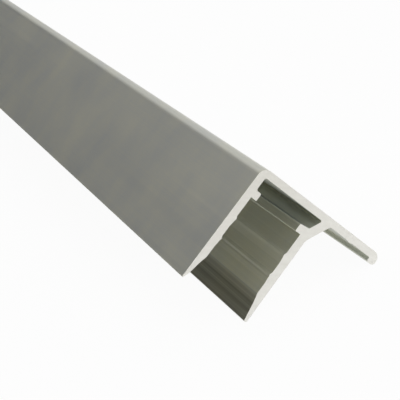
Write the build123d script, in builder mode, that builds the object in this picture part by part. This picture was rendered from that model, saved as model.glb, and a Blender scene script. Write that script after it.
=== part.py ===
from build123d import *
from math import acos, atan2, cos, hypot, radians, sin, tan
import os

# A board edging profile in aluminium: an L of a leg and a flange, with a second wall
# that makes a slot for a board's edge. The section is drawn with x along the flange
# and y down the leg, both from the outer corner. Millimetres throughout.

os.makedirs("parts", exist_ok=True)

# Stock
stock_length = 1000.0

# Outer L
flange_width = 30.0
leg_depth = 24.75
flange_thickness = 1.5
leg_thickness = 1.6
corner_radius = 1.8

# Second wall and the board slot. The wall leans away from the leg, so the slot opens
# towards its mouth. Its width is measured at the flange.
slot_width = 12.3
wall_thickness = 1.7
wall_depth = 24.75
wall_lean = 0.8

# Slanted web that joins the second wall to the flange
web_angle = 27.0
web_thickness = 1.8
web_foot_spread = 2.45
web_fillet = 3.0

# Chamber behind the slot, and the stop ribs that end the slot
chamber_depth = 2.75
rib_height = 1.6
rib_reach = 1.25
rib_root_rise = 0.25

# Barbs that grip the board
barb_height = 0.25
barb_start = 4.35
barb_pitch = 4.65
barb_steep_run = 0.6
barb_gentle_run = 1.4

# Lead-in at the slot's mouth, its lengths measured back from the tips
lead_length = 5.55
lead_break = 3.75
lead_end = 1.35
lead_break_cut = 0.45
lead_end_cut = 0.85
leg_tip_land = 0.2

# Ridge on the flange's underside, and the bead along the flange's edge
ridge_inset = 6.8
ridge_rise_run = 1.3
ridge_fall_run = 0.4
ridge_height = 0.17
bead_width = 1.7
bead_drop = 0.9
bead_top_radius = 1.5
bead_bottom_radius = 0.7

# Small radii of the die
tip_radius = 0.3
inside_radius = 0.45
edge_radius = 0.2
rib_edge_radius = 0.3

lean_run = tan(radians(wall_lean))
web_run = tan(radians(web_angle))
rib_top = flange_thickness + chamber_depth
rib_bottom = rib_top + rib_height
barb_depths = [rib_bottom + barb_start, rib_bottom + barb_start + barb_pitch]
bead_start = flange_width - bead_width
bead_depth = flange_thickness + bead_drop
ridge_crest = flange_width - ridge_inset

wall_root = leg_thickness + slot_width + wall_thickness
web_outer_root = wall_root + web_foot_spread
web_inner_root = web_outer_root - web_thickness / cos(radians(web_angle))
web_meets_wall = flange_thickness + web_foot_spread / (web_run + lean_run)
rib_root = rib_top - rib_root_rise
web_meets_rib = web_inner_root - web_run * (rib_root - flange_thickness)


def near_face(depth, stand_off=0):
    """Point on the leg's slot face, or stand_off from it into the slot."""
    return leg_thickness + stand_off, depth


def far_face(depth, stand_off=0):
    """Point on the second wall's slot face, or stand_off from it into the slot."""
    lean = (depth - flange_thickness) * lean_run
    return leg_thickness + slot_width + lean - stand_off, depth


def barb(face, depth):
    """Three corners of one barb, from the slot's bottom towards its mouth."""
    return [
        (*face(depth - barb_steep_run), 0),
        (*face(depth, barb_height), 0),
        (*face(depth + barb_gentle_run), 0),
    ]


def stop_rib(face):
    """Edge of one stop rib, from the slot's bottom towards its mouth."""
    return [
        (*face(rib_top, rib_reach), rib_edge_radius),
        (*face(rib_bottom, rib_reach), rib_edge_radius),
        (*face(rib_bottom), edge_radius),
    ]


def lead_in(face, tip):
    """Tapered end of a slot face, down to the last taper point before its tip."""
    return [
        (*face(tip - lead_length), 0),
        (*face(tip - lead_break, -lead_break_cut), 0),
        (*face(tip - lead_end, -lead_end_cut), 0),
    ]


# Each corner is x, y and the radius that rounds it, clockwise from the outer corner.
flange_corners = [
    (0, 0, corner_radius),
    (flange_width, 0, bead_top_radius),
    (flange_width, bead_depth, bead_bottom_radius),
    (bead_start, bead_depth, tip_radius),
    (bead_start, flange_thickness, edge_radius),
    (ridge_crest + ridge_fall_run, flange_thickness, 0),
    (ridge_crest, flange_thickness + ridge_height, 0),
    (ridge_crest - ridge_rise_run, flange_thickness, 0),
    (web_outer_root, flange_thickness, inside_radius),
]
wall_corners = [
    (*far_face(web_meets_wall, -wall_thickness), web_fillet),
    (*far_face(wall_depth, -wall_thickness), tip_radius),
    (*far_face(wall_depth, -lead_end_cut), edge_radius),
    *reversed(lead_in(far_face, wall_depth)),
    *reversed(barb(far_face, barb_depths[1])),
    *reversed(barb(far_face, barb_depths[0])),
    *reversed(stop_rib(far_face)),
]
chamber_corners = [
    (web_meets_rib, rib_root, inside_radius),
    (web_inner_root, flange_thickness, tip_radius),
    (*near_face(flange_thickness), inside_radius),
    (*near_face(rib_top), inside_radius),
]
leg_corners = [
    *stop_rib(near_face),
    *barb(near_face, barb_depths[0]),
    *barb(near_face, barb_depths[1]),
    *lead_in(near_face, leg_depth),
    (leg_tip_land, leg_depth, 0),
    (0, leg_depth, 0),
]
corners = flange_corners + wall_corners + chamber_corners + leg_corners

# The profile rests unheld on the second wall's tip and on the bead, so the floor
# touches a small round at each. down_angle turns from x towards y to point at the floor.
tip_x, tip_y = far_face(wall_depth - tip_radius, -(wall_thickness - tip_radius))
bead_x = flange_width - bead_bottom_radius
bead_y = bead_depth - bead_bottom_radius
span = hypot(bead_x - tip_x, bead_y - tip_y)
span_angle = atan2(bead_y - tip_y, bead_x - tip_x)
down_angle = span_angle + acos((tip_radius - bead_bottom_radius) / span)
corner_height = tip_x * cos(down_angle) + tip_y * sin(down_angle) + tip_radius

# The resting section reaches from the leg's tip to the bead's upper round.
left_reach = -leg_depth * cos(down_angle)
right_round_x = (flange_width - bead_top_radius) * sin(down_angle)
right_reach = right_round_x - bead_top_radius * cos(down_angle) + bead_top_radius

rest_plane = Plane(
    origin=(-(left_reach + right_reach) / 2, -stock_length / 2, corner_height),
    x_dir=(sin(down_angle), 0, -cos(down_angle)),
    z_dir=(0, 1, 0),
)

with BuildPart() as profile:
    with BuildSketch(rest_plane) as section:
        with BuildLine():
            Polyline([(x, y) for x, y, radius in corners], close=True)
        make_face()
        for radius in sorted({radius for x, y, radius in corners if radius > 0}):
            rounded = [
                section.vertices().sort_by_distance((x, y))[0]
                for x, y, corner_round in corners
                if corner_round == radius
            ]
            fillet(rounded, radius)
    extrude(amount=stock_length)

profile.part.label = "profile"
export_step(profile.part, "parts/profile.step")
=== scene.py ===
from math import acos, atan2, cos, hypot, radians, sin, tan

import bpy
import numpy as np
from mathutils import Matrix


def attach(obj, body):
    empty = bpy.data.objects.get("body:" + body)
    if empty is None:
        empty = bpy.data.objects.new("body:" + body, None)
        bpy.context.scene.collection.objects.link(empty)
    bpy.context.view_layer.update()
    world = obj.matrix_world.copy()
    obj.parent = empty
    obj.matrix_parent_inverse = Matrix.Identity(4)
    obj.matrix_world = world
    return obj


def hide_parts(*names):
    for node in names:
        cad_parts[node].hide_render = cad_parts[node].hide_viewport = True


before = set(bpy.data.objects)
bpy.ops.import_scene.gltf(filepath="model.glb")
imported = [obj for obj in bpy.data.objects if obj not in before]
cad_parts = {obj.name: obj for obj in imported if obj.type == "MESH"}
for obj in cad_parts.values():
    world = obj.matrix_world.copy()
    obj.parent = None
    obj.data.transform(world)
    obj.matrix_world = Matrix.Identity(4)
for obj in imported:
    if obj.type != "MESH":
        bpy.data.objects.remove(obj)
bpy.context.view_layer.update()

# The bar
# One length of aluminium pressed through a die and sawn off: an outer leg and flange, and a
# second wall that makes a barbed slot for a board. Its section is drawn in millimetres from
# the outer corner, x along the flange and y down the leg.

flange_width = 30.0
flange_thickness = 1.5
leg_depth = 24.75
leg_thickness = 1.6
corner_radius = 1.8
slot_width = 12.3
wall_thickness = 1.7
wall_lean = tan(radians(0.8))
web_slope = tan(radians(27))
web_thickness = 1.8
web_foot_spread = 2.45
web_fillet = 3.0
chamber_depth = 2.75
rib_height = 1.6
rib_reach = 1.25
rib_root_rise = 0.25
rib_edge_radius = 0.05
barb_height = 0.25
barb_steep_run = 0.6
barb_crest_run = 0.4
barb_back = 0.1
barb_gentle_run = 1.7
leg_tip_land = 0.2
ridge_crest = 23.2
ridge_height = 0.17
ridge_rise_run = 1.3
ridge_fall_run = 0.4
bead_start = 28.3
bead_depth = 2.4
bead_top_radius = 1.5
bead_bottom_radius = 0.7
tip_radius = 0.3
inside_radius = 0.45
edge_radius = 0.2
crest_radius = 0.08
soft_radius = 2.0
ridge_foot_radius = 1.0
leg_tip_radius = 0.05
leg_edge_radius = 0.15
wall_tip_cut = 1.1
burr = 0.03
crease_angle = radians(24)

# Each barb's crest: its depth, and how far the face behind it stands off.
barbs = ((10.6, 0.152), (15.1, 0.095))

# Each point of the lead-in: its length back from the tip, its cut into the face, its radius.
lead_points = ((5.55, 0.0, 0.5), (3.75, 0.45, 2.0), (1.35, 0.85, 1.5))

rib_top = flange_thickness + chamber_depth
rib_bottom = rib_top + rib_height
wall_root = leg_thickness + slot_width + wall_thickness
web_root = wall_root + web_foot_spread
web_inner_root = web_root - web_thickness / cos(atan2(web_slope, 1))


def near_face(depth, stand_off=0.0):
    """Point on the leg's slot face, or stand_off from it into the slot."""
    return leg_thickness + stand_off, depth


def far_face(depth, stand_off=0.0):
    """Point on the second wall's slot face, or stand_off from it into the slot."""
    lean = (depth - flange_thickness) * wall_lean
    return leg_thickness + slot_width + lean - stand_off, depth


def slot_side(face):
    """Corners of one side of the slot, from its stop rib to the end of its lead-in."""
    corners = [
        (*face(rib_top, rib_reach), tip_radius),
        (*face(rib_bottom, rib_reach), rib_edge_radius),
        (*face(rib_bottom), rib_edge_radius),
    ]
    for depth, behind_crest in barbs:
        corners += [
            (*face(depth - barb_steep_run), edge_radius),
            (*face(depth, barb_height), crest_radius),
            (*face(depth + barb_crest_run, behind_crest), crest_radius),
            (*face(depth + 2 * barb_crest_run, barb_back), crest_radius),
            (*face(depth + barb_gentle_run), soft_radius),
        ]
    for start, cut, radius in lead_points:
        corners.append((*face(leg_depth - start, -cut), radius))
    return corners


def section_corners():
    """Corners of the whole section, clockwise from the outer corner: x, y, and the radius that
    rounds the corner.
    """
    fork = flange_thickness + web_foot_spread / (web_slope + wall_lean)
    rib_root = rib_top - rib_root_rise
    flange = [
        (0, 0, corner_radius),
        (flange_width, 0, bead_top_radius),
        (flange_width, bead_depth, bead_bottom_radius),
        (bead_start, bead_depth, tip_radius),
        (bead_start, flange_thickness, edge_radius),
        (ridge_crest + ridge_fall_run, flange_thickness, crest_radius),
        (ridge_crest, flange_thickness + ridge_height, crest_radius),
        (ridge_crest - ridge_rise_run, flange_thickness, ridge_foot_radius),
        (web_root, flange_thickness, inside_radius),
    ]
    wall = [
        (*far_face(fork, -wall_thickness), web_fillet),
        (*far_face(leg_depth, -wall_thickness), tip_radius),
        (*far_face(leg_depth, -wall_tip_cut), edge_radius),
    ]
    web_meets_rib = web_inner_root - web_slope * (rib_root - flange_thickness)
    chamber = [
        (web_meets_rib, rib_root, inside_radius),
        (web_inner_root, flange_thickness, tip_radius),
        (*near_face(flange_thickness), inside_radius),
        (*near_face(rib_top), inside_radius),
    ]
    leg_tip = [(leg_tip_land, leg_depth, leg_tip_radius), (0, leg_depth, leg_edge_radius)]
    corners = flange + wall + slot_side(far_face)[::-1] + chamber + slot_side(near_face) + leg_tip
    return np.array(corners)


def rounded_outline(corners, arc_points):
    """Closed outline of a section whose corners are rounded.

    At a corner of radius r whose edges turn by an angle t, the arc touches both edges at
    r tan(t / 2) from the corner. Its points turn from one edge's normal to the other's about
    the centre, which lies r from both edges.
    """
    spot = corners[:, :2]
    radius = corners[:, 2]
    leaving = np.roll(spot, -1, axis=0) - spot
    leaving /= np.linalg.norm(leaving, axis=1)[:, None]
    coming = np.roll(leaving, 1, axis=0)
    turn = np.arctan2(
        coming[:, 0] * leaving[:, 1] - coming[:, 1] * leaving[:, 0],
        (coming * leaving).sum(axis=1),
    )
    side = np.sign(turn)
    normal = np.stack([-coming[:, 1], coming[:, 0]], axis=1) * side[:, None]
    touch = spot - coming * (radius * np.tan(np.abs(turn) / 2))[:, None]
    centre = touch + normal * radius[:, None]
    sweep = turn[:, None] * np.linspace(0, 1, arc_points)[None, :]
    spoke = -normal[:, None, :] * radius[:, None, None]
    arc = centre[:, None, :] + np.stack(
        [
            spoke[..., 0] * np.cos(sweep) - spoke[..., 1] * np.sin(sweep),
            spoke[..., 0] * np.sin(sweep) + spoke[..., 1] * np.cos(sweep),
        ],
        axis=2,
    )
    return arc.reshape(-1, 2)


def inset(outline, depth):
    """Outline moved inwards by depth along the mean normal of the two edges at each point."""
    ahead = np.roll(outline, -1, axis=0) - outline
    ahead /= np.linalg.norm(ahead, axis=1)[:, None]
    behind = np.roll(ahead, 1, axis=0)
    along = ahead + behind
    along /= np.linalg.norm(along, axis=1)[:, None]
    half = np.sqrt((1 + (ahead * behind).sum(axis=1)) / 2)
    inward = np.stack([-along[:, 1], along[:, 0]], axis=1)
    return outline + inward * (depth / half)[:, None]


def drag_and_shade_share(outline):
    """How much painted shade each point gets, and how far the die has dulled it: not at all
    outside, 0.7 in the chamber and under the flange, about half in the slot, up to 1 on the
    lead-in and a little less at the tips.
    Between the depths listed here, the share changes in a straight line.
    """
    mid_slot = 15.0
    lead_start, lead_break, lead_end = [leg_depth - start for start, cut, radius in lead_points]
    share_by_depth = [
        (rib_top, 0.7),
        (rib_top + 0.1, 0.51),
        (mid_slot, 0.495),
        (lead_start, 0.455),
        (lead_start + 0.05, 0.8),
        (lead_break, 0.935),
        (lead_end, 1.0),
        (leg_depth, 0.95),
    ]
    x, y = outline.T
    share = np.interp(y, *np.transpose(share_by_depth))

    hair = 0.01
    web_margin = 0.2
    bead_margin = 0.05
    below_flange = y > flange_thickness - hair
    wall_side = far_face(y)[0] + wall_tip_cut
    far_side = np.where(y < rib_top - hair, web_inner_root + web_margin, wall_side)
    inside = (x > leg_thickness - wall_tip_cut) & (x < far_side) & (y < leg_depth - hair)
    under_flange = (x > web_root) & (x < bead_start + bead_margin)
    return np.where(below_flange & (inside | under_flange), share, 0.0)


def laid_down(outline):
    """The outline in metres, x across and z up, as the bar lies unheld on the floor.

    It rests on two small rounds, at the second wall's tip and at the bead, so the floor is
    the line that touches both: the line of their centres, turned by acos of the radii's
    difference over the distance. Across, the middle of the whole bar is at zero.
    """
    tip_x, tip_y = far_face(leg_depth - tip_radius, tip_radius - wall_thickness)
    bead_x = flange_width - bead_bottom_radius
    bead_y = bead_depth - bead_bottom_radius
    span = hypot(bead_x - tip_x, bead_y - tip_y)
    lean = acos((tip_radius - bead_bottom_radius) / span)
    down = atan2(bead_y - tip_y, bead_x - tip_x) + lean
    floor_reach = tip_x * cos(down) + tip_y * sin(down) + tip_radius
    left = -leg_depth * cos(down)
    right_round = (flange_width - bead_top_radius) * sin(down) - bead_top_radius * cos(down)
    middle = (left + right_round + bead_top_radius) / 2
    x = outline[..., 0] * sin(down) - outline[..., 1] * cos(down) - middle
    z = floor_reach - outline[..., 0] * cos(down) - outline[..., 1] * sin(down)
    return x / 1000, z / 1000


def swept_bar(name, outline, stations):
    """Skin of a bar as one grid: ring i is the outline pulled in by stations[i][1] millimetres,
    at stations[i][0] metres along Y. Each end is closed by one flat face. The UV map holds
    metres round the outline across, and metres along the bar up.
    """
    place, pull = np.array(stations).T
    x, z = laid_down(np.array([inset(outline, depth) for depth in pull]))
    y = np.broadcast_to(place[:, None], x.shape)
    points = np.stack([x, y, z], axis=2).reshape(-1, 3)

    count = len(outline)
    start = np.arange(count)
    after = (start + 1) % count
    ring = np.arange(len(stations) - 1)[:, None] * count
    sides = np.stack([ring + start, ring + after, ring + count + after, ring + count + start], axis=2)
    sides = sides.reshape(-1, 4)
    near_end = start[::-1]
    far_end = start + count * (len(stations) - 1)

    mesh = bpy.data.meshes.new(name)
    mesh.from_pydata(points.tolist(), [], sides.tolist() + [near_end.tolist(), far_end.tolist()])

    step = np.linalg.norm(np.roll(outline, -1, axis=0) - outline, axis=1) / 1000
    girth = np.concatenate([[0], np.cumsum(step)])
    across = np.stack([girth[:-1], girth[1:], girth[1:], girth[:-1]], axis=1)
    across = np.broadcast_to(across, (len(stations) - 1, count, 4)).reshape(-1)
    up = np.stack([place[:-1], place[:-1], place[1:], place[1:]], axis=1)
    up = np.broadcast_to(up[:, None, :], (len(stations) - 1, count, 4)).reshape(-1)
    uv = np.zeros((len(mesh.loops), 2))
    uv[: len(across), 0] = across
    uv[: len(up), 1] = up
    layer = mesh.uv_layers.new(name="drawn")
    layer.data.foreach_set("uv", uv.ravel())

    # This share sets the painted shade of the skin's colour as well as its dulling.
    drag_and_shade = mesh.attributes.new(name="drag_and_shade", type="FLOAT", domain="POINT")
    drag_and_shade.data.foreach_set("value", np.tile(drag_and_shade_share(outline), len(stations)))

    slots = np.zeros(len(mesh.polygons), dtype=np.int32)
    slots[-2:] = 1
    mesh.polygons.foreach_set("material_index", slots)
    mesh.shade_smooth()
    mesh.set_sharp_from_angle(angle=crease_angle)
    mesh.update()
    return mesh


half_bar = 0.5
last_ring = 0.49
ring_count = 50
arc_points = 9
bar_outline = rounded_outline(section_corners(), arc_points)
bar_stations = [(-half_bar, burr), (-half_bar + burr / 1000, 0.0)]
bar_stations += [(ring, 0.0) for ring in np.linspace(-last_ring, last_ring, ring_count)]
bar_stations += [(half_bar - burr / 1000, 0.0), (half_bar, burr)]
bar = bpy.data.objects.new("bar", swept_bar("bar", bar_outline, bar_stations))
bpy.context.collection.objects.link(bar)


class Field:
    """A shader socket that takes part in Python expressions. Each operator adds a Math node."""

    def __init__(self, tree, socket):
        self.tree = tree
        self.socket = socket

    def node(self, kind, inputs=(), output=0, ramp=None, **settings):
        """Adds a node of this kind: its settings first, then its sockets' values or links."""
        added = self.tree.nodes.new(kind)
        for key, value in settings.items():
            setattr(added, key, value)
        if ramp:
            stops = added.color_ramp.elements
            while len(stops) < len(ramp):
                stops.new(0.5)
            for stop, (spot, colour) in zip(stops, ramp):
                stop.position = spot
                stop.color = colour
        for key, value in dict(inputs).items():
            if isinstance(value, Field):
                self.tree.links.new(value.socket, added.inputs[key])
            else:
                added.inputs[key].default_value = value
        return Field(self.tree, added.outputs[output])

    def feed(self, shader, socket):
        """Links this socket to a socket of a shader."""
        self.tree.links.new(self.socket, shader.inputs[socket])

    def maths(self, operation, first, second):
        """Adds a Math node on two values or sockets."""
        return self.node("ShaderNodeMath", {0: first, 1: second}, operation=operation)

    def __add__(self, other):
        return self.maths("ADD", self, other)

    def __radd__(self, other):
        return self.maths("ADD", other, self)

    def __sub__(self, other):
        return self.maths("SUBTRACT", self, other)

    def __rsub__(self, other):
        return self.maths("SUBTRACT", other, self)

    def __mul__(self, other):
        return self.maths("MULTIPLY", self, other)

    def __rmul__(self, other):
        return self.maths("MULTIPLY", other, self)


def new_material(name):
    """A material, its Principled shader, and that shader's output to add further nodes from."""
    material = bpy.data.materials.new(name)
    material.use_nodes = True
    surface = material.node_tree.nodes["Principled BSDF"]
    return material, surface, Field(material.node_tree, surface.outputs[0])


# Mill finish: the skin as it left the die, with fine lines along the whole bar, a cloudy
# tint from handling and air, and drag marks that dull the slot and most of all its lead-in.
# Over them lies painted shade: the chamber, the underside of the flange and the slot are
# darkened, the lead-in most of all.
lines_per_metre = (3500, 5)
streaks_per_metre = (900, 2)
clouds_per_metre = 70.0
line_depth = 0.00003
clean_metal = [(0.35, (0.80, 0.818, 0.776, 1)), (0.65, (0.905, 0.898, 0.776, 1))]
# Painted shade: these tints darken the skin where the drag share is high, in the chamber, under the
# flange, in the slot and most of all on its lead-in.
painted_shade_tints = [
    (0.0, (1, 1, 1, 1)),
    (0.42, (0.99, 0.985, 0.95, 1)),
    (0.58, (0.88, 0.875, 0.84, 1)),
    (0.7, (0.785, 0.81, 0.83, 1)),
    (0.8, (0.79, 0.78, 0.705, 1)),
    (1.0, (0.41, 0.40, 0.34, 1)),
]

mill_finish, surface, finish = new_material("mill_finish")
skin = finish.node("ShaderNodeUVMap")
across = skin.node("ShaderNodeSeparateXYZ", {0: skin}, output="X")
along = skin.node("ShaderNodeSeparateXYZ", {0: skin}, output="Y")
# The share that sets the painted shade as well as the drag marks.
drag_and_shade = skin.node("ShaderNodeAttribute", output="Fac", attribute_name="drag_and_shade")


def drawn_noise(per_metre, detail, roughness):
    """Noise on the skin's UV, stretched along the bar: per_metre is its cells round and along."""
    round_bar, down_bar = per_metre
    space = skin.node("ShaderNodeCombineXYZ", {0: across * round_bar, 1: along * down_bar})
    settings = {"Vector": space, "Scale": 1.0, "Detail": detail, "Roughness": roughness}
    return skin.node("ShaderNodeTexNoise", settings)


fine_lines = drawn_noise(lines_per_metre, 4.0, 0.6)
streaks = drawn_noise(streaks_per_metre, 3.0, 0.55)
place = skin.node("ShaderNodeTexCoord", output="Object")
clouds = skin.node(
    "ShaderNodeTexNoise",
    {"Vector": place, "Scale": clouds_per_metre, "Detail": 4.0, "Roughness": 0.6},
)
clean = skin.node(
    "ShaderNodeValToRGB",
    {"Fac": clouds * 0.7 + fine_lines * 0.3},
    ramp=clean_metal,
)
# Painted shade, streaked, in the hollows of the section, following the drag share.
painted_shade = skin.node(
    "ShaderNodeValToRGB",
    {"Fac": drag_and_shade * (0.55 + streaks * 0.9)},
    ramp=painted_shade_tints,
)
# The skin's own colour multiplied by the painted shade.
skin_with_painted_shade = skin.node(
    "ShaderNodeMix",
    {"Factor": 1.0, 6: clean, 7: painted_shade},
    output=2,
    data_type="RGBA",
    blend_type="MULTIPLY",
)
metal = 0.68 + drag_and_shade * 0.3
roughness = 0.24 + fine_lines * 0.12 + clouds * 0.06 + drag_and_shade * 0.25
height = fine_lines * 0.6 + streaks * (drag_and_shade * 2 + 0.4)
relief = skin.node("ShaderNodeBump", {"Height": height, "Strength": 0.25, "Distance": line_depth})
skin_with_painted_shade.feed(surface, "Base Color")
metal.feed(surface, "Metallic")
roughness.feed(surface, "Roughness")
relief.feed(surface, "Normal")

# Sawn ends: bare metal where a toothed disc cut the bar, brighter than the skin, with fine
# marks that curve about the disc's centre, and painted light that makes them a little
# brighter towards the floor.
disc_centre = (-0.06, 0.0, -0.11)
teeth_per_metre = 2600
grains_per_metre = 900.0
middle_height = 0.013
bare_metal = [(0.0, (0.645, 0.635, 0.58, 1)), (1.0, (0.83, 0.82, 0.78, 1))]

sawn_end, surface, finish = new_material("sawn_end")
surface.inputs["Metallic"].default_value = 0.5
face = finish.node("ShaderNodeTexCoord", output="Object")
reach = face.node(
    "ShaderNodeVectorMath",
    {0: face, 1: disc_centre},
    output="Value",
    operation="DISTANCE",
)
teeth = face.node(
    "ShaderNodeTexNoise",
    {"W": reach * teeth_per_metre, "Scale": 1.0, "Detail": 3.0, "Roughness": 0.6},
    noise_dimensions="1D",
)
grain = face.node(
    "ShaderNodeTexNoise",
    {"Vector": face, "Scale": grains_per_metre, "Detail": 3.0, "Roughness": 0.6},
)
upward = face.node("ShaderNodeSeparateXYZ", {0: face}, output="Z")
marks = teeth * 0.6 + grain * 0.4
# Painted light: the saw marks plus a rise in brightness towards the floor.
marks_and_painted_light = marks + (middle_height - upward) * 24
colour = face.node("ShaderNodeValToRGB", {"Fac": marks_and_painted_light}, ramp=bare_metal)
roughness = 0.5 + teeth * 0.1
relief = face.node("ShaderNodeBump", {"Height": marks, "Strength": 0.3, "Distance": line_depth})
colour.feed(surface, "Base Color")
roughness.feed(surface, "Roughness")
relief.feed(surface, "Normal")

bar.data.materials.append(mill_finish)
bar.data.materials.append(sawn_end)
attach(bar, "root")
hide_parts("profile")

# Floor
# A wide sheet of matt white paper that the bar lies on. The camera sees it as plain white
# with a faint shadow of the bar, and the metal mirrors it as half as bright as that.

sheet_reach = 4
sheet_corners = [(-1, -1), (1, -1), (1, 1), (-1, 1)]
floor_mesh = bpy.data.meshes.new("floor")
floor_mesh.from_pydata(
    [(sheet_reach * x, sheet_reach * y, 0) for x, y in sheet_corners],
    [],
    [(0, 1, 2, 3)],
)
floor = bpy.data.objects.new("floor", floor_mesh)
bpy.context.collection.objects.link(floor)

white_paper, surface, matt = new_material("white_paper")
surface.inputs["Base Color"].default_value = (0.8, 0.8, 0.79, 1)
surface.inputs["Roughness"].default_value = 0.9
rays = matt.node("ShaderNodeLightPath", output="Is Camera Ray")
mirrored = matt.node("ShaderNodeLightPath", output="Is Glossy Ray")
glow = matt.node("ShaderNodeEmission", {"Color": (1, 1, 1, 1), "Strength": 1.0})
seen = matt.node("ShaderNodeMixShader", {0: rays * 0.95 + mirrored * 0.5, 1: matt, 2: glow})
seen.feed(white_paper.node_tree.nodes["Material Output"], "Surface")
floor_mesh.materials.append(white_paper)

# Light
# A studio room round the bar: dark low on its left, grey walls on its right and a bright
# ceiling, all of it plain white to the camera. One broad soft lamp lights the sawn end.

room = bpy.data.worlds.new("room")
room.use_nodes = True
backdrop = room.node_tree.nodes["Background"]
backdrop.inputs["Color"].default_value = (1, 1, 1, 1)
air = Field(room.node_tree, backdrop.outputs[0])
sky = air.node("ShaderNodeTexCoord", output="Generated")
sideways = air.node("ShaderNodeSeparateXYZ", {0: sky}, output="X")
upwards = air.node("ShaderNodeSeparateXYZ", {0: sky}, output="Z")
towards_walls = sideways + upwards * 0.6
walls = air.node(
    "ShaderNodeMapRange",
    {"Value": towards_walls, "From Min": 0.12, "From Max": 0.3, "To Min": 0.01, "To Max": 0.4},
)
ceiling = air.node(
    "ShaderNodeMapRange",
    {"Value": upwards, "From Min": 0.5, "From Max": 0.72, "To Min": 0.0, "To Max": 0.985},
)
brighter = air.node("ShaderNodeMath", {0: walls, 1: ceiling}, operation="MAXIMUM")
in_view = air.node("ShaderNodeLightPath", output="Is Camera Ray")
strength = brighter * (1 - in_view) + in_view
strength.feed(backdrop, "Strength")
bpy.context.scene.world = room

front_lamp = bpy.data.lights.new("front_lamp", "AREA")
front_lamp.shape = "RECTANGLE"
front_lamp.size = 2.0
front_lamp.size_y = 1.1
front_lamp.energy = 22.5
front_light = bpy.data.objects.new("front_lamp", front_lamp)
front_light.location = (0.7, -2.3, 0.6)
front_light.rotation_euler = (radians(76), 0, radians(20))
bpy.context.collection.objects.link(front_light)

# Camera
# A long lens above the sawn end, on the bar's left. It looks along the bar, and is turned so
# the leg falls away to the left.

lens = bpy.data.cameras.new("camera")
lens.sensor_width = 36.0
lens.lens = 162.0
lens.clip_start = 0.01
camera = bpy.data.objects.new("camera", lens)
camera.location = (-0.075916, -0.794532, 0.13529)
camera.rotation_euler = (radians(68.9306), radians(17.9899), radians(-19.3366))
bpy.context.collection.objects.link(camera)
bpy.context.scene.camera = camera
bpy.context.scene.view_settings.view_transform = "Standard"
